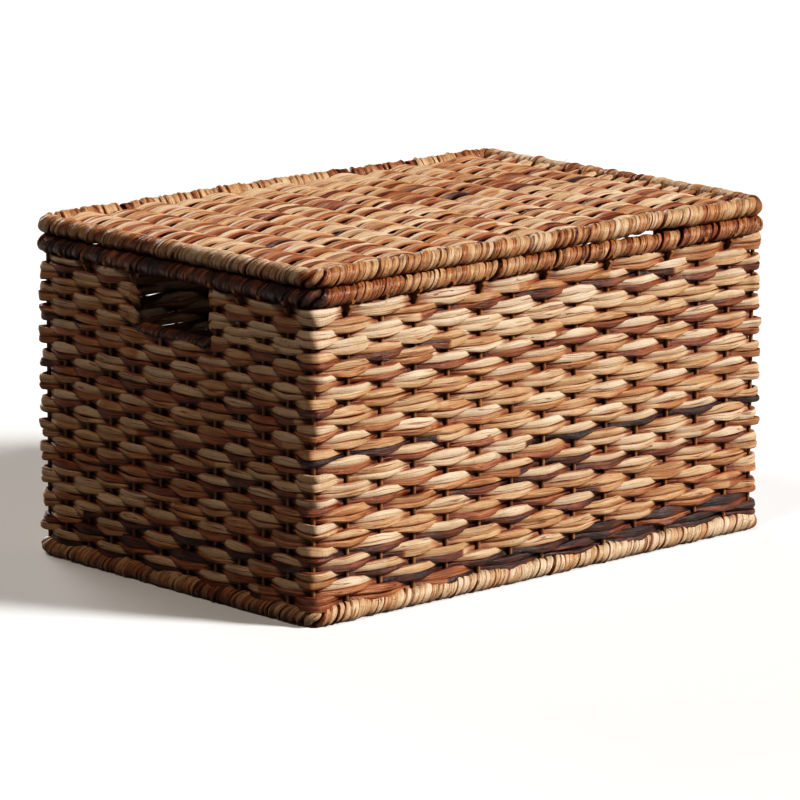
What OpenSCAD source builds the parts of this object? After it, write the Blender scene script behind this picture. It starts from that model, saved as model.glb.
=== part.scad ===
// Wicker storage trunk: a rattan and steel-rod cage, woven all over, with a lashed lid.
// Origin: centre of the footprint, on the floor. +X runs along the trunk, -Y is the front, +Z is up.

/* [Overall size] */
// Length, left end to right end
length = 600; // [560:10:640]
// Depth, front to back
depth = 400; // [380:10:440]
// Height with the lid shut
height = 330; // [300:5:360]

/* [Rims] */
// Thickness of a wound rim
rim_d = 18; // [17:0.5:19]
// Steel rod inside each rim
rod_d = 6; // [5:0.5:7]
// Bend of the rods at the corners, measured on the rod's centre line
corner_r = 12; // [11:1:16]
// Flat that the floor has worn under the base rim, as a depth off the round
foot_flat = 0.6; // [0.3:0.1:1]
// Gap between the lid's rim and the trunk's rim
rim_gap = 0.4; // [0.3:0.1:0.8]

/* [Weave] */
// Rattan stakes and ribs that the strands pass around
stake_d = 4; // [3:0.5:5]
// Thickness of a woven wall
wall_t = 13; // [12:0.5:14]
// Thickness of the woven floor and of the woven lid
panel_t = 12; // [11:0.5:13]
// Courses of weave up a wall
wall_courses = 24; // [20:1:28]
// Courses of weave across the floor or the lid
panel_courses = 32; // [28:1:34]
// Depth of the groove between two courses
groove = 1.5; // [1:0.25:2]
// Spaces between stakes along the front
front_bays = 14; // [12:2:16]

/* [Handholds] */
// Distance between the two stakes beside a handhold
handhold_span = 116; // [110:2:124]
// Courses left out for a handhold, counting the one that its wound bar takes
handhold_courses = 5; // [4:1:5]

/* [Lid hinge] */
// Distance of each lashing from the trunk's middle, in front bays
lashing_bay = 4.5; // [2.5:1:4.5]
// Thickness of the lashing strand
lashing_d = 3.8; // [3:0.2:3.8]
// Turns of strand in one lashing
lashing_turns = 3; // [2:1:3]
// Play between a lashing and the rod that turns in it
lashing_play = 0.3; // [0.2:0.05:0.4]

/* [Hidden] */
$fn = 48;

// Play between one piece and another that it is wound or woven around.
fit = 0.1;
// Gap left where a rod's end is coped against the rod that it is fixed to.
weld = 0.05;
// Gap between a woven panel's edge and the winding around it.
edge_gap = 1.2;
// Play at each end of a lashing, in the notches of the windings.
notch_play = 0.5;
// Where a course is at its thickest, as shares of its height.
crown_from = 0.3;
crown_to = 0.7;
over = 1;

rim_r = rim_d / 2;
rod_r = rod_d / 2;
stake_r = stake_d / 2;
lashing_r = lashing_d / 2;

// The rods' centre lines, in plan and in height.
ring_x = length / 2 - rim_r;
ring_y = depth / 2 - rim_r;
base_z = rim_r - foot_flat;
lid_z = height - rim_r;
top_z = lid_z - rim_d - rim_gap;

// The courses of a wall fill the height between the base rim and the top rim.
wall_z0 = base_z + rim_r + 2 * fit;
wall_z1 = top_z - rim_r - 2 * fit;
course_h = (wall_z1 - wall_z0) / wall_courses;

// The floor and the lid fill the plan inside the rims.
panel_x = ring_x - rim_r - edge_gap;
panel_y = ring_y - rim_r - edge_gap;

// Where a corner post stands: halfway round the rod's bend.
post_x = ring_x - corner_r * (1 - cos(45));
post_y = ring_y - corner_r * (1 - cos(45));

// Stakes along the front and the back, and the ribs that line up with them.
bay = 2 * ring_x / front_bays;
front_xs = [for (i = [1 : front_bays - 1]) -ring_x + i * bay];

// Stakes up an end: two beside the handhold, two cut short under it, three more to each side.
side_bays = 4;
under_bays = 3;
hand_y = handhold_span / 2;
side_pitch = (ring_y - hand_y) / side_bays;
tall_ys = [for (s = [-1, 1], i = [0 : side_bays - 1]) s * (hand_y + i * side_pitch)];
short_ys = [for (i = [1 : under_bays - 1]) -hand_y + i * handhold_span / under_bays];

// The handhold's wound bar takes one course, and the hole goes from there up to the rim. The
// strands that turn back around the stakes beside it take half of the wall's thickness.
bar_z = wall_z1 - (handhold_courses - 0.5) * course_h;
bar_winding_r = course_h / 2 - 2 * fit;
hole_y = hand_y - wall_t / 2;

// The lashings sit in notches of the two rims.
lashing_x = lashing_bay * bay;
lashing_path_r = rod_r + lashing_play + lashing_r;
lashing_pitch = lashing_d + 2 * fit;
notch = lashing_turns * lashing_pitch + 2 * notch_play;

rattan = "peru";
pale_strand = "burlywood";
brown_strand = "sienna";
dark_strand = "saddlebrown";
steel = "dimgray";

// A round section bent into a rounded rectangle at height z. A bore makes it a tube.
module ring(z, r, bore = 0) {
    run_x = 2 * (ring_x - corner_r);
    run_y = 2 * (ring_y - corner_r);
    translate([0, 0, z]) {
        for (s = [-1, 1]) {
            translate([-run_x / 2, s * ring_y, 0]) rotate([0, 90, 0]) linear_extrude(run_x) section(r, bore);
            translate([s * ring_x, run_y / 2, 0]) rotate([90, 0, 0]) linear_extrude(run_y) section(r, bore);
        }
        for (q = [[1, 1, 0], [-1, 1, 90], [-1, -1, 180], [1, -1, 270]])
            translate([q[0] * run_x / 2, q[1] * run_y / 2, 0]) rotate(q[2])
                rotate_extrude(angle = 90) translate([corner_r, 0]) section(r, bore);
    }
}

module section(r, bore) {
    difference() {
        circle(r);
        if (bore > 0) circle(bore);
    }
}

// Upright sticks at a list of plan points.
module sticks(points, r, z0, z1) {
    for (p = points) translate([p[0], p[1], z0]) cylinder(r = r, h = z1 - z0);
}

// Sticks from the front to the back at a list of x places.
module cross_sticks(xs, r, z, half_y) {
    for (x = xs) translate([x, half_y, z]) rotate([90, 0, 0]) cylinder(r = r, h = 2 * half_y);
}

function front_points(side) = [for (x = front_xs) [x, side * ring_y]];
function end_points(side, ys) = [for (y = ys) [side * ring_x, y]];
corner_points = [for (sx = [-1, 1], sy = [-1, 1]) [sx * post_x, sy * post_y]];
all_points = concat(
    front_points(-1), front_points(1), corner_points,
    end_points(-1, concat(tall_ys, short_ys)), end_points(1, concat(tall_ys, short_ys))
);
reach_points = concat(
    front_points(-1), front_points(1), corner_points, end_points(-1, tall_ys), end_points(1, tall_ys)
);

// The edge of a woven panel: one bulge for each course, on both faces, counted from y = 0.
function panel_edge(courses, pitch, thickness) = let (
    out = thickness / 2,
    in = thickness / 2 - groove,
    bulge = [[in, 0], [out, crown_from], [out, crown_to]],
    face = [for (i = [0 : courses - 1], p = bulge) [p[0], (i + p[1]) * pitch]],
    top = [[in, courses * pitch], [-in, courses * pitch]],
    back = [for (i = [len(face) - 1 : -1 : 0]) [-face[i][0], face[i][1]]]
) concat(face, top, back);

module wall_edge() {
    translate([0, wall_z0]) polygon(panel_edge(wall_courses, course_h, wall_t));
}

// One wall with half of the bend at each end. half_run is its straight part, away its distance from the middle.
module wall(half_run, away) {
    translate([-half_run, -away, 0]) rotate([90, 0, 90]) linear_extrude(2 * half_run) wall_edge();
    for (s = [-1, 1])
        translate([s * half_run, -away + corner_r, 0]) rotate(s < 0 ? 225 : 270)
            rotate_extrude(angle = 45) translate([corner_r, 0]) wall_edge();
}

module stake_holes(points) {
    sticks(points, stake_r + fit, wall_z0 - over, wall_z1 + over);
}

module long_wall(side) {
    difference() {
        rotate(side < 0 ? 0 : 180) wall(ring_x - corner_r, ring_y);
        stake_holes(concat(front_points(side), corner_points));
    }
}

module end_wall(side) {
    difference() {
        rotate(side < 0 ? -90 : 90) wall(ring_y - corner_r, ring_x);
        stake_holes(concat(end_points(side, concat(tall_ys, short_ys)), corner_points));
        handhold_rod(side, stake_r + weld, hand_y);
        translate([side * ring_x - wall_t, -hole_y, bar_z - course_h / 2])
            cube([2 * wall_t, 2 * hole_y, wall_z1 - bar_z + course_h]);
    }
}

// A woven panel that lies flat inside a rim, with its courses along x.
module flat_panel(z) {
    pitch = 2 * panel_y / panel_courses;
    difference() {
        translate([-panel_x, -panel_y, z]) rotate([90, 0, 90]) linear_extrude(2 * panel_x)
            rotate(90) mirror([0, 1]) polygon(panel_edge(panel_courses, pitch, panel_t));
        cross_sticks(front_xs, stake_r + fit, z, panel_y + over);
    }
}

// Ribs from one rod to the other, coped against both.
module ribs(z) {
    difference() {
        cross_sticks(front_xs, stake_r, z, ring_y);
        ring(z, rod_r + weld);
    }
}

// Stakes that reach both rods, coped against them.
module tall_stakes(points) {
    difference() {
        sticks(points, stake_r, base_z, top_z);
        ring(base_z, rod_r + weld);
        ring(top_z, rod_r + weld);
    }
}

// Stakes cut short under a handhold's bar.
module short_stakes(side) {
    difference() {
        sticks(end_points(side, short_ys), stake_r, base_z, bar_z);
        ring(base_z, rod_r + weld);
        handhold_rod(side, stake_r + weld, hand_y);
    }
}

module handhold_rod(side, r, half_y) {
    translate([side * ring_x, half_y, bar_z]) rotate([90, 0, 0]) cylinder(r = r, h = 2 * half_y);
}

module handhold_bar(side) {
    difference() {
        handhold_rod(side, stake_r, hand_y);
        sticks(end_points(side, tall_ys), stake_r + weld, base_z, top_z);
    }
}

// The bore for the bar is wider than the holes for the stakes, which end inside it.
module handhold_winding(side) {
    difference() {
        handhold_rod(side, bar_winding_r, hole_y - fit);
        handhold_rod(side, stake_r + 2 * fit, hand_y);
        sticks(end_points(side, short_ys), stake_r + fit, base_z, bar_z);
    }
}

// Space that the lashings take out of a rim's winding.
module lashing_notches(z) {
    for (s = [-1, 1]) translate([s * lashing_x, ring_y, z]) cube([notch, 2 * rim_d, rim_d + over], center = true);
}

// One turn of a lashing: a link around the lid's rod and the trunk's rod.
module lashing_turn() {
    for (s = [-1, 1]) translate([0, s * lashing_path_r, top_z]) cylinder(r = lashing_r, h = lid_z - top_z);
    for (e = [[lid_z, 0], [top_z, 180]])
        translate([0, 0, e[0]]) rotate([e[1], 0, 0]) rotate([90, 0, 90])
            rotate_extrude(angle = 180) translate([lashing_path_r, 0]) circle(lashing_r);
}

module lashing(side) {
    for (i = [0 : lashing_turns - 1])
        translate([side * lashing_x + (i - (lashing_turns - 1) / 2) * lashing_pitch, ring_y, 0]) lashing_turn();
}

// Steel rod bent and welded into the bottom frame.
module base_ring() {
    color(steel) ring(base_z, rod_r);
}

module base_ribs() {
    color(rattan) ribs(base_z);
}

module base_weave() {
    color(pale_strand) flat_panel(base_z);
}

// Strand wound tightly around the bottom rod, worn flat where it stands on the floor.
module base_rim_winding() {
    color(pale_strand) difference() {
        ring(base_z, rim_r, rod_r + fit);
        sticks(all_points, stake_r + fit, base_z, base_z + rim_d);
        cross_sticks(front_xs, stake_r + fit, base_z, ring_y);
        translate([-length, -depth, -rim_d]) cube([2 * length, 2 * depth, rim_d]);
    }
}

module corner_posts() {
    color(rattan) tall_stakes(corner_points);
}

module front_stakes() {
    color(rattan) tall_stakes(front_points(-1));
}

module back_stakes() {
    color(rattan) tall_stakes(front_points(1));
}

module left_stakes() {
    color(rattan) {
        tall_stakes(end_points(-1, tall_ys));
        short_stakes(-1);
    }
}

module right_stakes() {
    color(rattan) {
        tall_stakes(end_points(1, tall_ys));
        short_stakes(1);
    }
}

module front_weave() {
    color(pale_strand) long_wall(-1);
}

module back_weave() {
    color(pale_strand) long_wall(1);
}

module left_weave() {
    color(pale_strand) end_wall(-1);
}

module right_weave() {
    color(pale_strand) end_wall(1);
}

module left_handhold_bar() {
    color(rattan) handhold_bar(-1);
}

module left_handhold_winding() {
    color(dark_strand) handhold_winding(-1);
}

module right_handhold_bar() {
    color(rattan) handhold_bar(1);
}

module right_handhold_winding() {
    color(dark_strand) handhold_winding(1);
}

// Steel rod bent and welded into the frame around the trunk's mouth.
module top_ring() {
    color(steel) ring(top_z, rod_r);
}

module top_rim_winding() {
    color(dark_strand) difference() {
        ring(top_z, rim_r, rod_r + fit);
        sticks(reach_points, stake_r + fit, top_z - rim_d, top_z);
        lashing_notches(top_z);
    }
}

module left_hinge_lashing() {
    color(dark_strand) lashing(-1);
}

module right_hinge_lashing() {
    color(dark_strand) lashing(1);
}

// Steel rod bent and welded into the lid's frame. Its back run is the lid's hinge axis.
module lid_ring() {
    color(steel) ring(lid_z, rod_r);
}

module lid_ribs() {
    color(rattan) ribs(lid_z);
}

module lid_weave() {
    color(pale_strand) flat_panel(lid_z);
}

module lid_rim_winding() {
    color(brown_strand) difference() {
        ring(lid_z, rim_r, rod_r + fit);
        cross_sticks(front_xs, stake_r + fit, lid_z, ring_y);
        lashing_notches(lid_z);
    }
}

base_ring();
base_ribs();
base_weave();
base_rim_winding();
corner_posts();
front_stakes();
back_stakes();
left_stakes();
right_stakes();
front_weave();
back_weave();
left_weave();
right_weave();
left_handhold_bar();
left_handhold_winding();
right_handhold_bar();
right_handhold_winding();
top_ring();
top_rim_winding();
left_hinge_lashing();
right_hinge_lashing();
lid_ring();
lid_ribs();
lid_weave();
lid_rim_winding();
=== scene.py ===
"""Wicker storage trunk: strands, windings and finishes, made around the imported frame.

Metres throughout. +X runs along the trunk, -Y is the front, +Z is up.
"""

import math

import bpy
import numpy as np
from mathutils import Matrix, Vector


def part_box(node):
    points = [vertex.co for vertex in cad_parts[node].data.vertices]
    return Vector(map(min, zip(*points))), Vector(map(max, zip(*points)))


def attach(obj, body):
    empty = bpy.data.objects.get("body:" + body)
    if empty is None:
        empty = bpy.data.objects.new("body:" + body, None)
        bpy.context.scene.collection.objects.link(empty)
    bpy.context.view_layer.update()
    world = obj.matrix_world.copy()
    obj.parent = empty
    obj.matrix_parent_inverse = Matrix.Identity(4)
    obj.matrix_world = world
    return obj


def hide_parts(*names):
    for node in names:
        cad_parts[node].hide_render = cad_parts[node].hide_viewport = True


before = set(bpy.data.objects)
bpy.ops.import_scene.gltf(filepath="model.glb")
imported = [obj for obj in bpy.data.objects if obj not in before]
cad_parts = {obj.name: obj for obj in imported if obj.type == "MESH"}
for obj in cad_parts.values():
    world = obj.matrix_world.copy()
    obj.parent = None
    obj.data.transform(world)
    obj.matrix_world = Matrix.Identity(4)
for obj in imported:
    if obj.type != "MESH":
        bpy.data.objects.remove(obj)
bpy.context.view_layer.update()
rng = np.random.default_rng(11)


# ---- measures, from the frame


def extent(node):
    low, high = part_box(node)
    return np.array(low), np.array(high)


def middle(node):
    low, high = extent(node)
    return (low + high) / 2


def size(node):
    low, high = extent(node)
    return high - low


# The three rods: their thickness, their rings' half length and half depth, and their heights.
ROD_R = size("lid_ring")[2] / 2
RING_X = extent("lid_ring")[1][0] - ROD_R
RING_Y = extent("lid_ring")[1][1] - ROD_R
LID_Z = middle("lid_ring")[2]
TOP_Z = middle("top_ring")[2]
BASE_Z = middle("base_ring")[2]
RIM_R = size("lid_rim_winding")[2] / 2

# Stakes: their thickness, the front's spaces, and an end's, beside the handhold and under it.
STAKE_R = size("front_stakes")[1] / 2
BAY = RING_X + extent("front_stakes")[0][0] + STAKE_R
FRONT_BAYS = round(2 * RING_X / BAY)
SIDE_BAYS = 4
SIDE_BAY = RING_Y + extent("left_stakes")[0][1] + STAKE_R
HAND_Y = RING_Y - SIDE_BAYS * SIDE_BAY
UNDER_BAYS = 3
END_BAYS = 2 * SIDE_BAYS + UNDER_BAYS

# A corner post stands halfway round the rod's bend.
POST_X = extent("corner_posts")[1][0] - STAKE_R
CORNER_R = (RING_X - POST_X) / (1 - math.cos(math.pi / 4))

# Courses of the walls, and those that stop beside the handholds. The upper ones are packed closer.
WALL_COURSES = 25
HAND_COURSES = 5
CLOSE_COURSES = 6
CLOSENESS = 0.9
ABOVE_BASE_RIM = 0.0026
BELOW_TOP_RIM = 0.0072
FIRST_COURSE_Z = extent("front_weave")[0][2] + ABOVE_BASE_RIM
LAST_COURSE_Z = extent("front_weave")[1][2] - BELOW_TOP_RIM
COURSE_H = (LAST_COURSE_Z - FIRST_COURSE_Z) / (WALL_COURSES - 1 - CLOSE_COURSES * (1 - CLOSENESS))
# Courses beside and below a handhold's bar dip towards it, most at the bar's own height.
BAR_DIP = 0.0042
DIP_WIDTH = 0.075
DIP_DEPTH = 8
HAND_Z = middle("left_handhold_bar")[2]
HOLE_Y = extent("left_handhold_winding")[1][1]

# Courses of the floor and of the lid. Their ends reach into the rims.
PANEL_COURSES = 32
PANEL_X = extent("lid_weave")[1][0]
PANEL_Y = extent("lid_weave")[1][1]
PANEL_PITCH = 2 * PANEL_Y / PANEL_COURSES
INTO_RIM = 0.0035
LID_CROWN = 0.0035

# Lashings of the hinge: their places, strand and turns, and the gaps in the rims around them.
LASHING_X = middle("right_hinge_lashing")[0]
LASHING_W = size("right_hinge_lashing")[0]
LASHING_R = 0.0019
LASHING_TURNS = 3
LASHING_GAP = 0.0003
NOTCH = LASHING_W + 0.0012

# The two upper rims are warped apart a little, to the right of the front's middle.
WARP_X = 0.150
WARP_WIDTH = 0.038

# How far strands swing to each side of the stakes, and their size there and between stakes.
SWING = 0.0038
STITCH_HALF = 0.0040
NECK_HALF = 0.0033
# Strands crease where they turn a corner. How sharply, and how rounded the crease itself is.
CREASE = 0.75
CREASE_ROUNDING = 0.16
# Points from one stake to the next, and around a corner post.
STEPS = 10
CORNER_STEPS = 40


# ---- formulas on node sockets


def formula_of(operation):
    return lambda wire, other: wire.recipe.formula(operation, wire, other)


def reflected(operation):
    return lambda wire, other: wire.recipe.formula(operation, other, wire)


class Wire:
    """A node's output, in formulas. Plain numbers and tuples may stand beside it."""

    def __init__(self, recipe, socket):
        self.recipe = recipe
        self.socket = socket

    __add__, __radd__ = formula_of("ADD"), reflected("ADD")
    __sub__, __rsub__ = formula_of("SUBTRACT"), reflected("SUBTRACT")
    __mul__, __rmul__ = formula_of("MULTIPLY"), reflected("MULTIPLY")
    __truediv__, __rtruediv__ = formula_of("DIVIDE"), reflected("DIVIDE")
    __gt__, __lt__ = formula_of("GREATER_THAN"), formula_of("LESS_THAN")


def is_vector(term):
    return isinstance(term, tuple) or (isinstance(term, Wire) and term.socket.type == "VECTOR")


class Recipe:
    """A node tree that is written as a list of steps."""

    def __init__(self, tree):
        self.tree = tree

    def add(self, kind, settings=None, sockets=None, out=0):
        node = self.tree.nodes.new(kind)
        for key, value in (settings or {}).items():
            setattr(node, key, value)
        for key, value in (sockets or {}).items():
            if isinstance(value, Wire):
                self.tree.links.new(value.socket, node.inputs[key])
            else:
                node.inputs[key].default_value = value
        return Wire(self, node.outputs[out]) if len(node.outputs) else None

    def formula(self, operation, *terms):
        vectors = [is_vector(term) for term in terms]
        if not any(vectors):
            return self.call(operation, *terms)
        if operation == "MULTIPLY" and not all(vectors):
            vector, factor = terms if vectors[0] else terms[::-1]
            return self.add("ShaderNodeVectorMath", {"operation": "SCALE"}, {0: vector, "Scale": factor})
        return self.vector_call(operation, *terms)

    def call(self, operation, *terms):
        return self.add("ShaderNodeMath", {"operation": operation}, dict(enumerate(terms)))

    def vector_call(self, operation, *terms, out=0):
        return self.add("ShaderNodeVectorMath", {"operation": operation}, dict(enumerate(terms)), out)

    def sin(self, angle):
        return self.call("SINE", angle)

    def cos(self, angle):
        return self.call("COSINE", angle)

    def smooth(self, value, start, stop):
        """0 at start and 1 at stop, with an eased step between."""
        return self.add(
            "ShaderNodeMapRange",
            {"interpolation_type": "SMOOTHSTEP"},
            {0: value, 1: start, 2: stop, 3: 0.0, 4: 1.0},
        )

    def vector(self, x, y, z):
        return self.add("ShaderNodeCombineXYZ", None, {0: x, 1: y, 2: z})

    def split(self, vector):
        first = self.add("ShaderNodeSeparateXYZ", None, {0: vector})
        return [Wire(self, output) for output in first.socket.node.outputs]

    def noise(self, place, scale=1.0, detail=1.0, rough=0.5):
        """Smooth noise between about 0.25 and 0.75, in three dimensions."""
        sockets = {"Vector": place, "Scale": scale, "Detail": detail, "Roughness": rough}
        return self.add("ShaderNodeTexNoise", None, sockets)

    def dice(self, x, y, z=0.0):
        """An even random value from 0 to 1, one for each whole-numbered place."""
        place = self.vector(x, y, z)
        return self.add("ShaderNodeTexWhiteNoise", {"noise_dimensions": "3D"}, {"Vector": place})

    def bump(self, height, strength, distance):
        sockets = {"Strength": strength, "Distance": distance, "Height": height}
        return self.add("ShaderNodeBump", None, sockets)

    def magnitude(self, value):
        return self.call("ABSOLUTE", value)


# ---- materials


def new_material(name):
    material = bpy.data.materials.new(name)
    material.use_nodes = True
    material.node_tree.nodes.clear()
    return material, Recipe(material.node_tree)


def finish_material(recipe, sockets):
    shader = recipe.add("ShaderNodeBsdfPrincipled", None, sockets)
    recipe.add("ShaderNodeOutputMaterial", None, {"Surface": shader})


def object_place(recipe):
    return recipe.add("ShaderNodeTexCoord", None, None, "Object")


def blend_colours(recipe, factor, first, second, how="MIX"):
    """Mixes colours. Their sockets have numbers, because a Mix node repeats its sockets' names."""
    settings = {"data_type": "RGBA", "blend_type": how, "clamp_factor": True}
    return recipe.add("ShaderNodeMix", settings, {0: factor, 6: first, 7: (*second, 1)}, 2)


def colour_ramp(recipe, factor, stops):
    wire = recipe.add("ShaderNodeValToRGB", None, {0: factor})
    ramp = wire.socket.node.color_ramp
    while len(ramp.elements) > 1:
        ramp.elements.remove(ramp.elements[-1])
    ramp.elements[0].position = stops[0][0]
    ramp.elements[0].color = (*stops[0][1], 1)
    for place, colour in stops[1:]:
        ramp.elements.new(place).color = (*colour, 1)
    return wire


# Dried leaf strand, from the nearly black stem edges to the bleached inner leaf.
LEAF_TONES = [
    (0.00, (0.022, 0.010, 0.009)),
    (0.10, (0.048, 0.018, 0.014)),
    (0.22, (0.150, 0.040, 0.017)),
    (0.34, (0.290, 0.088, 0.032)),
    (0.46, (0.395, 0.155, 0.056)),
    (0.58, (0.485, 0.240, 0.105)),
    (0.70, (0.585, 0.352, 0.185)),
    (0.84, (0.680, 0.472, 0.298)),
    (1.00, (0.770, 0.575, 0.405)),
]

# Colours that the leaf's folds, cracks, specks and edges are shaded or replaced with, and the painted shade
# on sides that look into the weave. The darkening of the folds and edges is partly painted shade.
PAINTED_CREASE_SHADE = (0.33, 0.15, 0.08)
CRACK_TONE = (0.10, 0.040, 0.020)
SPECK_TONE = (0.14, 0.060, 0.030)
RED_STAIN_AND_SHADE = (0.42, 0.14, 0.06)
PAINTED_SHADE_TINT = (0.42, 0.16, 0.065)


def leaf_material(name, gloss, fibre_contrast, relief):
    """Folded leaf strand, whose colour is picked by tone.

    grain follows the strand: its length in metres, then across and through it from -1 to 1.
    """
    material, r = new_material(name)
    tone = r.add("ShaderNodeAttribute", {"attribute_name": "tone"}, None, "Fac")
    hollow = r.add("ShaderNodeAttribute", {"attribute_name": "hollow"}, None, "Fac")
    grain = r.add("ShaderNodeAttribute", {"attribute_name": "grain"}, None, "Vector")

    patches = r.noise(grain * (24.0, 0.35, 0.35), 1.0, 2.0)
    streaks = r.noise(grain * (26.0, 3.0, 3.0), 1.0, 4.0, 0.62)
    fibres = r.noise(grain * (60.0, 11.0, 11.0), 1.0, 3.0, 0.6)
    # Darker leaf is streakier than bleached leaf.
    busy = 1.25 - tone * 0.75
    shade = tone + (patches - 0.5) * 0.55 + (streaks - 0.5) * busy * 0.85
    shade = shade + (fibres - 0.5) * busy * fibre_contrast

    along, across, _ = r.split(grain)
    # Lines of folded-in edges, which wander along the strand. Their darkening is painted shade in the
    # creases, and the bump sinks them too.
    folds = r.noise(grain * (7.0, 0.85, 0.85))
    fold_line = r.smooth(r.magnitude(folds - 0.5), 0.016, 0.004)
    # Cracks across the strand where it was bent, here and there.
    bends = r.add(
        "ShaderNodeTexVoronoi",
        {"voronoi_dimensions": "1D", "feature": "DISTANCE_TO_EDGE"},
        {"W": (along + (streaks - 0.5) * 0.003) * 95.0, "Randomness": 1.0},
    )
    sparse = r.noise(grain * (60.0, 0.8, 0.8)) > 0.50
    cracks = r.smooth(bends, 0.045, 0.015) * sparse
    specks = r.noise(grain * (260.0, 3.0, 3.0)) > 0.70
    # Folded edges, darkened red along much of their length: the leaf's own red stain on its edges, with
    # painted shade where the strands meet.
    stained_and_shaded = r.smooth(r.noise(grain * (9.0, 0.45, 0.45)), 0.40, 0.56)
    edge = r.smooth(r.magnitude(across), 0.58, 0.98) * stained_and_shaded

    colour = colour_ramp(r, shade, LEAF_TONES)
    # Painted shade along the fold lines.
    colour = blend_colours(r, fold_line * 0.75, colour, PAINTED_CREASE_SHADE, "MULTIPLY")
    colour = blend_colours(r, cracks * 0.6, colour, CRACK_TONE)
    colour = blend_colours(r, specks * 0.4, colour, SPECK_TONE)
    # Red stain and painted shade on the folded edges.
    colour = blend_colours(r, edge * 0.85, colour, RED_STAIN_AND_SHADE, "MULTIPLY")
    # Painted shade: sides that look into the weave are darkened and reddened as if in shade.
    colour = blend_colours(r, hollow * 0.75, colour, PAINTED_SHADE_TINT, "MULTIPLY")

    height = streaks * 0.8 + fibres * 0.4 - cracks * 0.5 - fold_line * 0.8
    finish_material(r, {
        "Base Color": colour,
        "Roughness": gloss + (streaks - 0.5) * 0.4 + r.magnitude(tone - 0.35) * 0.30,
        "Specular IOR Level": 0.45,
        "Normal": r.bump(height, relief, 0.0015),
    })
    return material


# Peeled rattan, steel under dark brown paint, and the studio's floor.
RATTAN_TONES = [(0.25, (0.13, 0.055, 0.018)), (0.5, (0.27, 0.125, 0.040)), (0.75, (0.40, 0.21, 0.075))]
PAINT_TONES = [(0.35, (0.028, 0.018, 0.013)), (0.6, (0.050, 0.030, 0.020)), (0.72, (0.12, 0.055, 0.028))]
FLOOR_TONES = [(0.3, (0.93, 0.93, 0.93)), (0.7, (0.95, 0.95, 0.95))]


def rattan_material(name):
    """Peeled rattan: amber, with fine pores and darker patches."""
    material, r = new_material(name)
    place = object_place(r)
    blotches = r.noise(place, 28.0, 2.0)
    pores = r.noise(place, 900.0, 2.0)
    finish_material(r, {
        "Base Color": colour_ramp(r, blotches + (pores - 0.5) * 0.25, RATTAN_TONES),
        "Roughness": 0.42 + blotches * 0.2,
        "Normal": r.bump(pores, 0.35, 0.0004),
    })
    return material


def rod_material(name):
    """Steel rod under dark brown paint, with rubbed and faintly rusted patches."""
    material, r = new_material(name)
    rubbed = r.noise(object_place(r), 60.0, 3.0)
    colour = colour_ramp(r, rubbed, PAINT_TONES)
    finish_material(r, {"Base Color": colour, "Roughness": 0.38 + rubbed * 0.3})
    return material


def floor_material(name):
    material, r = new_material(name)
    colour = colour_ramp(r, r.noise(object_place(r), 0.6, 2.0), FLOOR_TONES)
    finish_material(r, {"Base Color": colour, "Roughness": 0.85})
    return material


WALL_STRAND = leaf_material("wall_strand", 0.33, 0.25, 0.6)
LID_STRAND = leaf_material("lid_strand", 0.36, 0.30, 0.6)
# The wound strand's fibre contrast is high: its fibre streaks, with the paler fibres also serving as painted
# highlights on the turns.
WOUND_STRAND = leaf_material("wound_strand", 0.28, 1.3, 0.9)
RATTAN = rattan_material("peeled_rattan")
ROD = rod_material("painted_rod")


# ---- trees that grow strands along lines


class Growth(Recipe):
    """A Geometry Nodes tree with named inputs."""

    def __init__(self, name):
        super().__init__(bpy.data.node_groups.new(name, "GeometryNodeTree"))
        self.tree.interface.new_socket("Geometry", in_out="INPUT", socket_type="NodeSocketGeometry")
        self.tree.interface.new_socket("Geometry", in_out="OUTPUT", socket_type="NodeSocketGeometry")
        self.entry = self.tree.nodes.new("NodeGroupInput")
        self.keys = {}

    def input(self, name, kind="Float"):
        item = self.tree.interface.new_socket(name, in_out="INPUT", socket_type="NodeSocket" + kind)
        self.keys[name] = item.identifier
        return Wire(self, self.entry.outputs[name])

    def geometry(self):
        return Wire(self, self.entry.outputs["Geometry"])

    def end(self, geometry):
        leave = self.tree.nodes.new("NodeGroupOutput")
        self.tree.links.new(geometry.socket, leave.inputs["Geometry"])

    def read(self, name, kind="FLOAT"):
        return self.add("GeometryNodeInputNamedAttribute", {"data_type": kind}, {"Name": name})

    def read_vector(self, name):
        return self.read(name, "FLOAT_VECTOR")

    def store(self, geometry, **values):
        for name, value in values.items():
            geometry = self.add(
                "GeometryNodeStoreNamedAttribute",
                {"data_type": "FLOAT_VECTOR" if is_vector(value) else "FLOAT", "domain": "POINT"},
                {"Geometry": geometry, "Name": name, "Value": value},
            )
        return geometry

    def curves(self):
        return self.add("GeometryNodeMeshToCurve", None, {"Mesh": self.geometry()})

    def circle(self, corners, radius):
        sockets = {"Resolution": corners, "Radius": radius}
        return self.add("GeometryNodeCurvePrimitiveCircle", {"mode": "RADIUS"}, sockets)

    def tube(self, curve, ring):
        sockets = {"Curve": curve, "Profile Curve": ring, "Fill Caps": True}
        return self.add("GeometryNodeCurveToMesh", None, sockets)

    def place(self, geometry, position):
        return self.add("GeometryNodeSetPosition", None, {"Geometry": geometry, "Position": position})

    def position(self):
        return self.add("GeometryNodeInputPosition")

    def tangent(self):
        return self.add("GeometryNodeInputTangent")

    def unit(self, vector):
        return self.vector_call("NORMALIZE", vector)

    def cross(self, first, second):
        return self.vector_call("CROSS_PRODUCT", first, second)


# How much fuller than an ellipse a strand's section is, how far its ridges follow a turn about
# itself, and the sharpest edge that is still shaded smooth.
FULLER = 0.20
RIDGE_ROLL = 5.0
SMOOTH_BELOW = 0.75


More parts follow.
